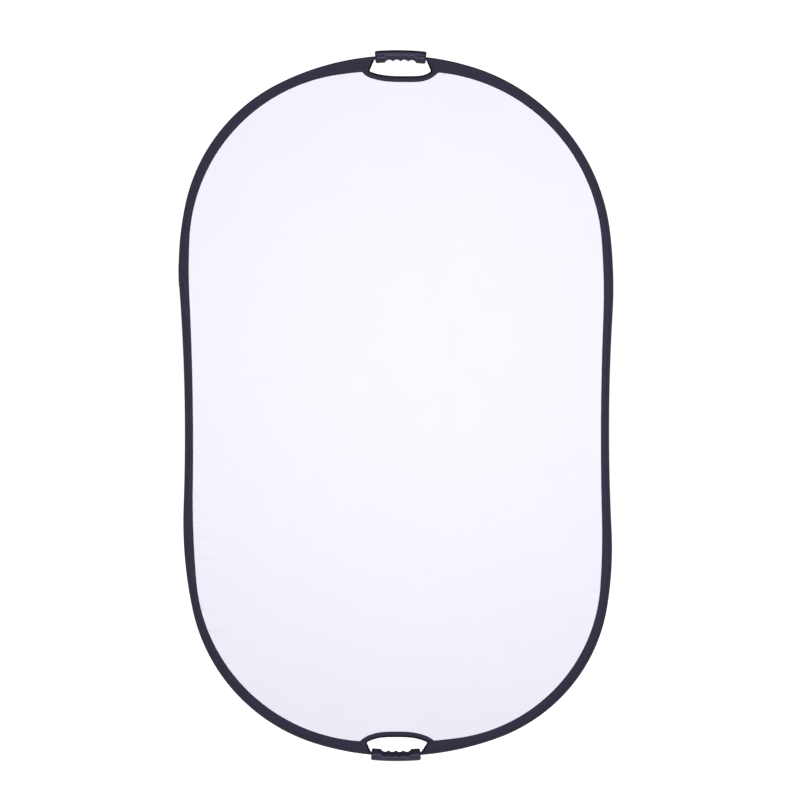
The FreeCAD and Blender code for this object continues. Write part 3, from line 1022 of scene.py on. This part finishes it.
def in_paths(points, paths):
    """True for each point inside one of several closed paths that lie apart."""
    inside = np.zeros(len(points), bool)
    for path in paths:
        for (x0, z0), (x1, z1) in zip(path, np.roll(path, -1, axis=0)):
            crosses = (z0 > points[:, 1]) != (z1 > points[:, 1])
            if crosses.any():
                inside ^= crosses & (points[:, 0] < x0 + (points[:, 1] - z0) * (x1 - x0) / (z1 - z0))
    return inside


def cloth_spots(along, cutters):
    """Points to build a cloth's triangles on, before they are thinned out."""
    x, z = np.meshgrid(np.arange(-0.46, 0.461, 0.02), np.arange(-0.78, 0.781, 0.0125))
    grid = np.stack([x.ravel(), z.ravel()], 1)
    spots = [border.walk(along, inset)[0] for inset in RINGS]
    spots.append(grid[border.locate(grid)[0] > RINGS[-1] + 6 * MM])
    for end in HOLES:
        curve = resampled(hole_curve(end), CLOTH_STEP)
        spots += [SIGN[end] * beside(curve, reach) for reach in HOLE_RINGS]
    spots = np.concatenate(spots)
    spots = spots[border.locate(spots)[0] > -UNDER_FLANGE + 1 * MM]
    return spots[~in_paths(spots, cutters)]


def thinned(spots, fixed):
    """The points that keep their distance from the fixed ones and from each other."""
    taken = {}
    for point in fixed:
        taken.setdefault(tuple(np.floor(point / CLOSEST).astype(int)), []).append(point)
    kept = []
    for point in spots:
        i, j = np.floor(point / CLOSEST).astype(int)
        near = [q for a in (-1, 0, 1) for b in (-1, 0, 1) for q in taken.get((i + a, j + b), ())]
        if all(abs(q[0] - point[0]) + abs(q[1] - point[1]) > CLOSEST for q in near):
            taken.setdefault((i, j), []).append(point)
            kept.append(point)
    return kept


def cloth_triangles():
    """Flat triangles of a whole cloth, fine along its edge, with the hand holes cut out."""
    along = np.linspace(0, border.length, int(border.length / CLOTH_STEP), endpoint=False)
    cutters = [hole_cutter(end) for end in HOLES]
    loops = [border.walk(along, -UNDER_FLANGE)[0], *cutters]
    edges = []
    for loop in loops:
        start = len(edges)
        edges += [(start + k, start + (k + 1) % len(loop)) for k in range(len(loop))]
    fixed = np.concatenate(loops)
    points = np.concatenate([fixed, thinned(cloth_spots(along, cutters), fixed)])
    verts, _, faces, *_ = delaunay_2d_cdt([Vector(p) for p in points], edges, [], 0, 1e-7)
    verts = np.array([tuple(v) for v in verts])
    faces = np.array([f for f in faces if len(f) == 3])
    middles = verts[faces].mean(1)
    return verts, faces[(border.locate(middles)[0] > -UNDER_FLANGE) & ~in_paths(middles, cutters)]


def whole_cloth(verts, faces, depth):
    """One side of a cloth as a mesh, at its place in the stretched panel."""
    bm = bmesh.new()
    made = [bm.verts.new((x, y, z)) for (x, z), y in zip(verts, cloth_height(verts) + depth)]
    for a, b, c in faces:
        bm.faces.new((made[a], made[b], made[c]))
    bmesh.ops.delete(bm, geom=[v for v in bm.verts if not v.link_faces], context="VERTS")
    return bm


def cut_to(bm, length):
    """Keep the part of a cloth that belongs to one length, and its lips."""
    for height, side, lip in ((length.low, -1, length.lip_low), (length.high, 1, length.lip_high)):
        cuts = [(height + side * LIP, True), (height, False)] if lip else [(height, True)]
        for place, clear in cuts if height < 1 else ():
            bmesh.ops.bisect_plane(
                bm, geom=bm.verts[:] + bm.edges[:] + bm.faces[:], dist=1e-7, clear_outer=clear,
                plane_co=(0, 0, length.up * place), plane_no=(0, 0, length.up * side),
            )
    return bm


def thickened(bm, length):
    """Close a single layer into a thin cloth, deep along +Y and thinner on its lips."""
    for v in bm.verts:
        v.co.y += length.tucked(v.co.z)
    rim = [e for e in bm.edges if e.is_boundary]
    copied = bmesh.ops.duplicate(bm, geom=bm.faces[:])
    twins = copied["vert_map"]
    for v in [v for v in copied["geom"] if isinstance(v, bmesh.types.BMVert)]:
        v.co.y += CLOTH_THICKNESS - 2 * length.tucked(v.co.z)
    for e in rim:
        a, b = e.verts
        bm.faces.new((a, b, twins[b], twins[a]))
    bmesh.ops.recalc_face_normals(bm, faces=bm.faces)


def cloth_normals(co, depth):
    """Directions square to the cloth at each vertex, from its own shape."""
    spots = co[:, [0, 2]]
    step = 0.4 * MM
    across, upwards = (
        (cloth_height(spots + gap) - cloth_height(spots - gap)) / (2 * step)
        for gap in (np.array([step, 0]), np.array([0, step]))
    )
    normals = unit(np.stack([across, np.full(len(co), -1.0), upwards], 1))
    front = co[:, 1] - cloth_height(spots) < depth + CLOTH_THICKNESS / 2
    return np.where(front[:, None], normals, -normals)


def build_cloth(kind, name, depth, material):
    whole = whole_cloth(*CLOTH, depth)
    for length in LENGTHS:
        bm = cut_to(whole.copy(), length)
        area = sum(f.calc_area() for f in bm.faces)
        thickened(bm, length)
        mesh = bpy.data.meshes.new(f"{name}_{length.name}")
        bm.to_mesh(mesh)
        bm.free()
        mesh.shade_smooth()
        piece = linked(mesh.name, mesh, material)
        co = np.array([v.co for v in mesh.vertices])
        set_normals(piece, cloth_normals(co, depth))
        length.stands_for(piece, kind)
        length.bend(piece)


CLOTH = cloth_triangles()
build_cloth("white_sheet", "white_cloth", -0.66 * MM, WHITE)
build_cloth("silver_sheet", "silver_cloth", 0.06 * MM, SILVER)


# ---------------------------------------------------------------- stitching

STITCH_PITCH = 3.6 * MM
STITCH_LENGTH = 2.7 * MM
THREAD_RADIUS = 0.24 * MM
STITCH_SIDES = 6
# Place along a stitch and thickness there, as shares of its length and of the thread's radius.
STITCH_ROWS = ((-0.5, 0.35), (-0.38, 0.9), (0.0, 1.0), (0.38, 0.9), (0.5, 0.35))
STITCH_ARCH = 0.16 * MM
# Height of the middle of the thread over y = 0, in each seam.
SEAM_HEIGHTS = {"channel": 1.24 * MM, "hem": 1.34 * MM, "facing": 1.30 * MM, "binding": 1.92 * MM}
# Distance of the seams round a hand hole from its edge.
SEAM_INSETS = {"facing": 11.1 * MM, "binding": 3.5 * MM}


def stitch_shell():
    """One stitch: a short thread, thinner where it dives into the cloth at both ends."""
    turn = np.linspace(0, TURN, STITCH_SIDES, endpoint=False)
    rings = []
    for place, size in STITCH_ROWS:
        radius = THREAD_RADIUS * size
        ring = [np.full(STITCH_SIDES, place * STITCH_LENGTH), radius * np.cos(turn), radius * np.sin(turn)]
        rings.append(np.stack(ring, 1))
    return np.concatenate(rings), grid_faces(len(rings), STITCH_SIDES)


STITCH_VERTS, STITCH_FACES = stitch_shell()


def stitch_row(path, face, height):
    """Vertices of a row of stitches along a dense path, lying on the cloth's face."""
    reach = distances(path)
    count = max(2, int(reach[-1] / STITCH_PITCH))
    places = (np.arange(count) + 0.5) * reach[-1] / count
    middle = picked(path, places)
    x, z = unit(picked(path, places + 0.5 * MM) - middle).T
    heights = np.interp(places, reach, np.broadcast_to(height, reach.shape))
    level = np.zeros(count)
    along, aside, centre = (
        np.stack(rows, 1)[:, None]
        for rows in ((x, level, z), (z, level, -x), (middle[:, 0], face * heights, middle[:, 1]))
    )
    ahead, sideways, up = (STITCH_VERTS[:, k:k + 1] for k in range(3))
    up = up - STITCH_ARCH * (2 * np.abs(ahead) / STITCH_LENGTH) ** 2
    return centre + along * ahead + aside * sideways + up * (0, face, 0)


def stitch_piece(name, rows):
    verts = np.concatenate([r.reshape(-1, 3) for r in rows])
    starts = range(0, len(verts), len(STITCH_VERTS))
    piece = new_piece(name, verts, [[start + i for i in f] for start in starts for f in STITCH_FACES], THREAD)
    return piece


def build_edge_stitching(length):
    rows = []
    for first, last in spans(length, grip_reach(length.end, -1 * MM)):
        along = stations(first, last, SLEEVE_STEP, FINE)
        width = flange_width(along)
        channel, _ = outer.walk(along, CHANNEL_STITCH)
        hem, _ = outer.walk(along, width - HEM_STITCH)
        clear = width > NARROWEST + 2 * HEM_STITCH
        for _, foot, _, _ in SIDES:
            clear &= np.linalg.norm(hem - foot, axis=1) > 8 * MM
        for face in (-1, 1):
            rows.append(stitch_row(channel, face, SEAM_HEIGHTS["channel"]))
            if clear.sum() > 4:
                rows.append(stitch_row(hem[clear], face, SEAM_HEIGHTS["hem"]))
    length.bend(stitch_piece(f"edge_stitching_{length.name}", rows))


def build_lap_stitching():
    """Bars of stitches across the lap patch: one near each end and one in the middle."""
    low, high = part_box("sleeve_lap")
    insets = np.linspace(1.2 * MM, 7.4 * MM, 12)
    height = np.interp(insets, *CHANNEL.T) + 0.66 * MM
    rows = []
    for z in (low.z + 3 * MM, high.z - 3 * MM, (low.z + high.z) / 2):
        points, _ = outer.walk(np.full(len(insets), crossing(TOP_LEFT, 0.0, Z, z)), insets)
        rows += [stitch_row(points, face, height) for face in (-1, 1)]
    LAP_LENGTH.bend(stitch_piece("sleeve_lap_stitching", rows))


def build_hole_stitching(end):
    paths = {"facing": resampled(hole_curve(end), FACING_STEP), "binding": hole_rim(end)}
    rows = []
    for face in (-1, 1):
        for seam, path in paths.items():
            path = SIGN[end] * beside(path, SEAM_INSETS[seam])
            rows.append(stitch_row(path, face, SEAM_HEIGHTS[seam]))
    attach(stitch_piece(f"{end}_hole_stitching", rows), END_BODY[end])


for length in LENGTHS:
    build_edge_stitching(length)
build_lap_stitching()
for end in HOLES:
    build_hole_stitching(end)


# ---------------------------------------------------------------- grips

GRIP_CROWN = 12.0 * MM
GRIP_FOOT = -16.0 * MM
GRIP_HALF_DEPTH = 13 * MM
GRIP_BROW = 4.9 * MM
ROUND_HEIGHT = 11.0 * MM
GROOVES = 4
GROOVE_PITCH = 17.8 * MM
GROOVE_DEPTH = 6.2 * MM
GROOVE_SAGITTA = 4.3 * MM
GROOVE_SHARE = 0.85
RIDGE_ROUNDING = 0.7 * MM
END_LENGTH = 4.4 * MM
END_DROP = 3.0 * MM
END_DEPTH = 6.5 * MM
END_ROWS = 11
SCOOP = 0.12
UNDERSIDE_FLATNESS = 0.7
BEAD_HEIGHT = 0.8 * MM
BEAD_COLUMNS = slice(15, 19)
PARTING = 0.12 * MM
# The bead in mm: height over the grooves' upper edge, and share of the bead's height.
BEAD = ((2.1, 0.0), (1.6, 0.55), (1.05, 0.95), (0.5, 1.0), (0.05, 0.70))
# Painted highlight along the bead, and how strong the painted shade is from just under it to its foot.
BEAD_PAINTED_HIGHLIGHT = (0.4, 1.0, 1.0, 0.6)
PAINTED_UNDERSIDE_SHADE = (-0.15, -1.0)


def groove_depth(along):
    """Depth of the finger grooves along the grip, with their ridges slightly rounded."""
    step = 0.1 * MM
    fine = np.arange(-GRIP_LENGTH / 2 - 5 * MM, GRIP_LENGTH / 2 + 5 * MM, step)
    radius = (GROOVE_PITCH ** 2 / 4 + GROOVE_SAGITTA ** 2) / (2 * GROOVE_SAGITTA)
    depth = np.zeros_like(fine)
    for k in range(GROOVES):
        away = np.abs(fine - (k - (GROOVES - 1) / 2) * GROOVE_PITCH)
        arc = np.sqrt(np.maximum(radius ** 2 - away ** 2, 0)) - radius + GROOVE_DEPTH
        depth = np.maximum(depth, arc)
    weights = np.exp(-0.5 * (np.arange(-25, 26) * step / RIDGE_ROUNDING) ** 2)
    return np.interp(along, fine, np.convolve(depth, weights / weights.sum(), mode="same"))


def grip_section(depth):
    """Front half of the section: (radial, y) points from the parting line over the top and under."""
    crown, side = GRIP_CROWN, GRIP_HALF_DEPTH
    points = [(crown - down * MM, -forward * MM) for down, forward in (
        (0.45, PARTING / MM), (0.08, 0.5), (0, 1.0), (0, 2.2), (0.06, 3.2), (0.30, 4.2))]
    shoulder = np.array(points[-1])
    brow = np.array([crown - GRIP_BROW, -side + 0.7 * MM])
    points += [shoulder + (brow - shoulder) * share for share in (0.25, 0.5, 0.75, 1.0)]
    top = crown - GRIP_BROW - 1.1 * MM
    points += [(top + 0.65 * MM, -side + 0.2 * MM), (top, -side)]
    wave = GRIP_FOOT + ROUND_HEIGHT + GROOVE_SHARE * depth
    low = min(top, GRIP_FOOT + ROUND_HEIGHT + GROOVE_SHARE * GROOVE_DEPTH + 2.4 * MM)
    points += [((top + low) / 2, -side), (low, -side)]
    points += [(wave + rise * MM, -side - BEAD_HEIGHT * share) for rise, share in BEAD]
    foot = GRIP_FOOT + depth
    height = wave - foot
    radius = (side ** 2 + height ** 2) / (2 * height)
    start, end = math.asin(side / radius), math.asin(0.9 * MM / radius)
    inwards = side - 0.9 * MM
    for share in np.linspace(0.03, 1.0, 16):
        turn = start * (1 - share) + end * share
        full = np.array([foot + radius - radius * math.cos(turn), -radius * math.sin(turn)])
        chord = np.array([wave - height * share, -side + inwards * share])
        full = full + (chord - full) * UNDERSIDE_FLATNESS
        hollow = np.array([wave - height * share ** 0.825, -side + inwards * share ** 0.62])
        points.append(full + (hollow - full) * depth / GROOVE_DEPTH * SCOOP)
    return np.array(points + [(foot + 0.06 * MM, -0.5 * MM), (foot + 0.45 * MM, -PARTING)])


def place_on_grip(end, along, outside):
    """X and Z of a place on the grip, by distance along the grip and outside the hoop's arc."""
    angle = math.asin(HOLES[end]["shift"] / RING_RADIUS) + along / RING_RADIUS
    reach = RING_RADIUS + outside
    z = OUTER_SHAPE[end] - RING_RADIUS + reach * math.cos(angle)
    return SIGN[end] * reach * math.sin(angle), SIGN[end] * z


def grip_grid(end, face):
    """Closed grid of one grip shell. face is -1 for the front shell and +1 for the rear one."""
    half = GRIP_LENGTH / 2
    share = np.sin(np.radians(np.linspace(0, 84, END_ROWS + 1)))[1:]
    ends = half - END_LENGTH * (1 - share)
    run = np.linspace(-half + END_LENGTH, half - END_LENGTH, 190)
    along = np.concatenate([-ends[::-1], run, ends])
    closing = 1 - np.sqrt(1 - share ** 2)
    closing = np.concatenate([closing[::-1], np.zeros(len(run)), closing])
    receding = np.maximum(0.0, (np.abs(along) - half + END_LENGTH) / END_LENGTH)
    rows = []
    for spot, closed, receded, depth in zip(along, closing, receding, groove_depth(along)):
        outside, y = grip_section(depth).T
        half_height, centre = np.ptp(outside) / 2, (outside.max() + outside.min()) / 2
        outside = centre + (outside - centre) * (1 - closed * END_DROP / half_height)
        y = y * (1 - (0.75 * receded + 0.25 * closed) * END_DEPTH / GRIP_HALF_DEPTH)
        x, z = place_on_grip(end, spot, outside)
        rows.append(np.stack([x, -face * y, z], 1))
    return np.array(rows)


# Screws: places along the grip and outside the hoop's arc, and the seat of the head.
SCREW_PLACES = (-38 * MM, 38 * MM)
SCREW_OUTSIDE = 4.4 * MM
HEAD_SEAT = GRIP_HALF_DEPTH - 2.6 * MM
HEAD_TOP = HEAD_SEAT + 2 * MM
# Radius and y in mm of the recess that a screw sits in, of its head over the seat, and half width
# and half height of the two bars of its cross recess.
RECESS = ((0, HEAD_SEAT / MM), (3.15, HEAD_SEAT / MM), (3.2, 12.3), (3.9, 13.05), (3.9, 16), (0, 16))
HEAD = ((0, 2.0), (0.9, 1.98), (1.7, 1.9), (2.4, 1.68), (2.82, 1.25), (3.0, 0.75), (3.0, 0.06),
        (2.9, 0.01), (0, 0.01))
CROSS = ((0.375, 1.65), (1.65, 0.375))
BOX_CORNERS = ((-1, -1), (1, -1), (1, 1), (-1, 1))
BOX_FACES = ((0, 1, 2, 3), (4, 5, 6, 7), (0, 1, 5, 4), (1, 2, 6, 5), (2, 3, 7, 6), (3, 0, 4, 7))
SHANK_LENGTH = 16.5 * MM
THREAD_PITCH = 1.1 * MM


def turned_profile(name, profile, start_y, place, material, sides=48):
    """Piece turned about an axis along Y, from (radius, y) pairs in mm, first and last on the axis."""
    x, z = place
    turns = np.linspace(0, TURN, sides, endpoint=False)
    verts = []
    for n, (radius, y) in enumerate(profile):
        on_axis = n in (0, len(profile) - 1)
        for turn in turns[:1] if on_axis else turns:
            ray = radius * MM
            verts.append((x + ray * math.cos(turn), start_y + y * MM, z + ray * math.sin(turn)))
    rings = len(profile) - 2
    faces = grid_faces(rings, sides, 1, caps=False)
    last_ring = 1 + (rings - 1) * sides
    for j in range(sides):
        k = (j + 1) % sides
        faces += [[0, 1 + k, 1 + j], [len(verts) - 1, last_ring + j, last_ring + k]]
    return new_piece(name, verts, faces, material, 35)


def cut_with(piece, cutter, sharp_angle=35):
    """Take the cutter's shape out of a piece, and the cutter out of the scene."""
    tool = piece.modifiers.new("cut", "BOOLEAN")
    tool.operation = "DIFFERENCE"
    tool.solver = "EXACT"
    tool.object = cutter
    graph = bpy.context.evaluated_depsgraph_get()
    mesh = bpy.data.meshes.new_from_object(piece.evaluated_get(graph))
    piece.modifiers.clear()
    piece.data = mesh
    bpy.data.objects.remove(cutter)
    mesh.shade_smooth()
    mesh.set_sharp_from_angle(angle=math.radians(sharp_angle))


def build_shell(end, side):
    grid = grip_grid(end, -1 if side == "front" else 1)
    spots = np.zeros((*grid.shape[:2], 2))
    spots[..., 0] = np.linspace(0, GRIP_LENGTH, len(grid))[:, None]
    # Painted highlight on the bead's columns, in the map's second number.
    spots[END_ROWS + 1:-END_ROWS - 1, BEAD_COLUMNS, 1] = BEAD_PAINTED_HIGHLIGHT
    under = BEAD_COLUMNS.stop + 1
    # Painted shade from just under the bead to the grip's foot, in the map's second number.
    spots[:, under:, 1] = np.linspace(*PAINTED_UNDERSIDE_SHADE, grid.shape[1] - under)
    piece = tube_piece(f"{end}_grip_{side}_shell", [grid], PLASTIC, [spots], 42)
    for along in SCREW_PLACES if side == "rear" else ():
        place = place_on_grip(end, along, SCREW_OUTSIDE)
        cut_with(piece, turned_profile("recess", RECESS, 0.0, place, PLASTIC), 42)
    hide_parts(f"{end}_grip_{side}")
    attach(piece, END_BODY[end])


def screw_head(place):
    """Pan head with a cross recess."""
    piece = turned_profile("head", HEAD, HEAD_SEAT, place, BLACKED)
    for half_width, half_height in CROSS:
        corners = [
            (place[0] + sx * half_width * MM * share, y, place[1] + sz * half_height * MM * share)
            for y, share in ((HEAD_TOP - 1.25 * MM, 0.55), (HEAD_TOP + 1 * MM, 1.25))
            for sx, sz in BOX_CORNERS
        ]
        cut_with(piece, new_piece("slot", corners, BOX_FACES, BLACKED))
    return piece


def screw_shank(place, sides=24):
    """Grid of the shank: a single helical ridge, and a point."""
    drop = np.linspace(0, SHANK_LENGTH, 180)[:, None]
    turn = np.linspace(0, TURN, sides, endpoint=False)
    phase = np.mod(drop / THREAD_PITCH + turn / TURN, 1.0)
    radius = 1.12 * MM + 0.36 * MM * np.clip(1 - np.abs(phase - 0.5) * 3.2, 0, 1)
    taper = 1 - smooth_step((drop - SHANK_LENGTH + 3 * MM) / (3 * MM)) * 0.9
    radius = np.where(drop < 1.2 * MM, 1.3 * MM, radius) * taper
    y = np.broadcast_to(HEAD_SEAT + 0.2 * MM - drop, radius.shape)
    return np.stack([place[0] + radius * np.cos(turn), y, place[1] + radius * np.sin(turn)], -1)


def build_screws(end):
    places = [place_on_grip(end, along, SCREW_OUTSIDE) for along in SCREW_PLACES]
    verts, faces = [], []
    for head in [screw_head(place) for place in places]:
        faces += [[len(verts) + i for i in f.vertices] for f in head.data.polygons]
        verts += [tuple(v.co) for v in head.data.vertices]
        bpy.data.objects.remove(head)
    for grid in map(screw_shank, places):
        faces += grid_faces(*grid.shape[:2], offset=len(verts))
        verts += [tuple(p) for p in grid.reshape(-1, 3)]
    piece = new_piece(f"{end}_grip_screw_pair", verts, faces, BLACKED, 35)
    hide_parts(f"{end}_grip_screws")
    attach(piece, END_BODY[end])


for end in HOLES:
    for side in ("front", "rear"):
        build_shell(end, side)
    build_screws(end)


# ---------------------------------------------------------------- studio

CAMERA_PLACE = (0.0, -4.9253, 0.5181)
CAMERA_LENS = 95.15
CAMERA_SHIFT = (0.0038, 0.0154)
CAMERA_ROLL = -0.0010
FLOOR_RADIUS = 30.0
BACKDROP_RADIUS = 32.0
WORLD_STRENGTH = 0.14
# Each light's place, the place it faces, its width and height, and its power.
LIGHTS = {
    "key": ((0.10, -2.9, 0.20), (0.04, 0, 0.06), (1.7, 1.7), 88.0),
    "rear_left": ((-2.4, 3.2, 1.6), (0, 0, 0), (1.6, 2.2), 24.0),
    "rear_right": ((2.6, 2.6, 0.9), (0, 0, 0), (1.0, 2.4), 16.0),
}


def add_stage():
    z = cad_low.z - 0.5 * MM
    rim = [(*polar(FLOOR_RADIUS, turn), z) for turn in np.linspace(0, 360, 96, endpoint=False)]
    faces = [(0, 1 + k, 1 + (k + 1) % len(rim)) for k in range(len(rim))]
    floor = new_piece("studio_floor", [(0, 0, z), *rim], faces, floor_finish())
    floor.visible_diffuse = False
    bm = bmesh.new()
    bmesh.ops.create_icosphere(bm, subdivisions=4, radius=BACKDROP_RADIUS)
    mesh = bpy.data.meshes.new("backdrop")
    bm.to_mesh(mesh)
    bm.free()
    backdrop = linked("backdrop", mesh, backdrop_finish())
    for ray in ("diffuse", "glossy", "transmission", "shadow"):
        setattr(backdrop, f"visible_{ray}", False)


def placed(name, data, place, target):
    """Object for a lamp or camera that faces a target."""
    made = bpy.data.objects.new(name, data)
    bpy.context.scene.collection.objects.link(made)
    made.location = place
    made.rotation_euler = (Vector(target) - Vector(place)).to_track_quat("-Z", "Y").to_euler()
    return made


def add_light(name, place, target, size, power):
    lamp = bpy.data.lights.new(name, "AREA")
    lamp.shape = "RECTANGLE"
    lamp.size, lamp.size_y = size
    lamp.energy = power
    placed(name, lamp, place, target).visible_camera = False


def add_world():
    world = bpy.data.worlds.new("studio")
    world.use_nodes = True
    background = world.node_tree.nodes["Background"]
    background.inputs["Color"].default_value = (1, 1, 1, 1)
    background.inputs["Strength"].default_value = WORLD_STRENGTH
    bpy.context.scene.world = world


def add_camera():
    data = bpy.data.cameras.new("camera")
    data.lens = CAMERA_LENS
    data.sensor_width = 36.0
    data.shift_x, data.shift_y = CAMERA_SHIFT
    data.clip_end = 200.0
    made = placed("camera", data, CAMERA_PLACE, (0, 0, 0))
    rolled = made.rotation_euler.to_quaternion() @ Quaternion((0, 0, 1), CAMERA_ROLL)
    made.rotation_euler = rolled.to_euler()
    bpy.context.scene.camera = made


add_stage()
add_world()
for name, setting in LIGHTS.items():
    add_light(name, *setting)
add_camera()
bpy.context.scene.view_settings.view_transform = "Standard"
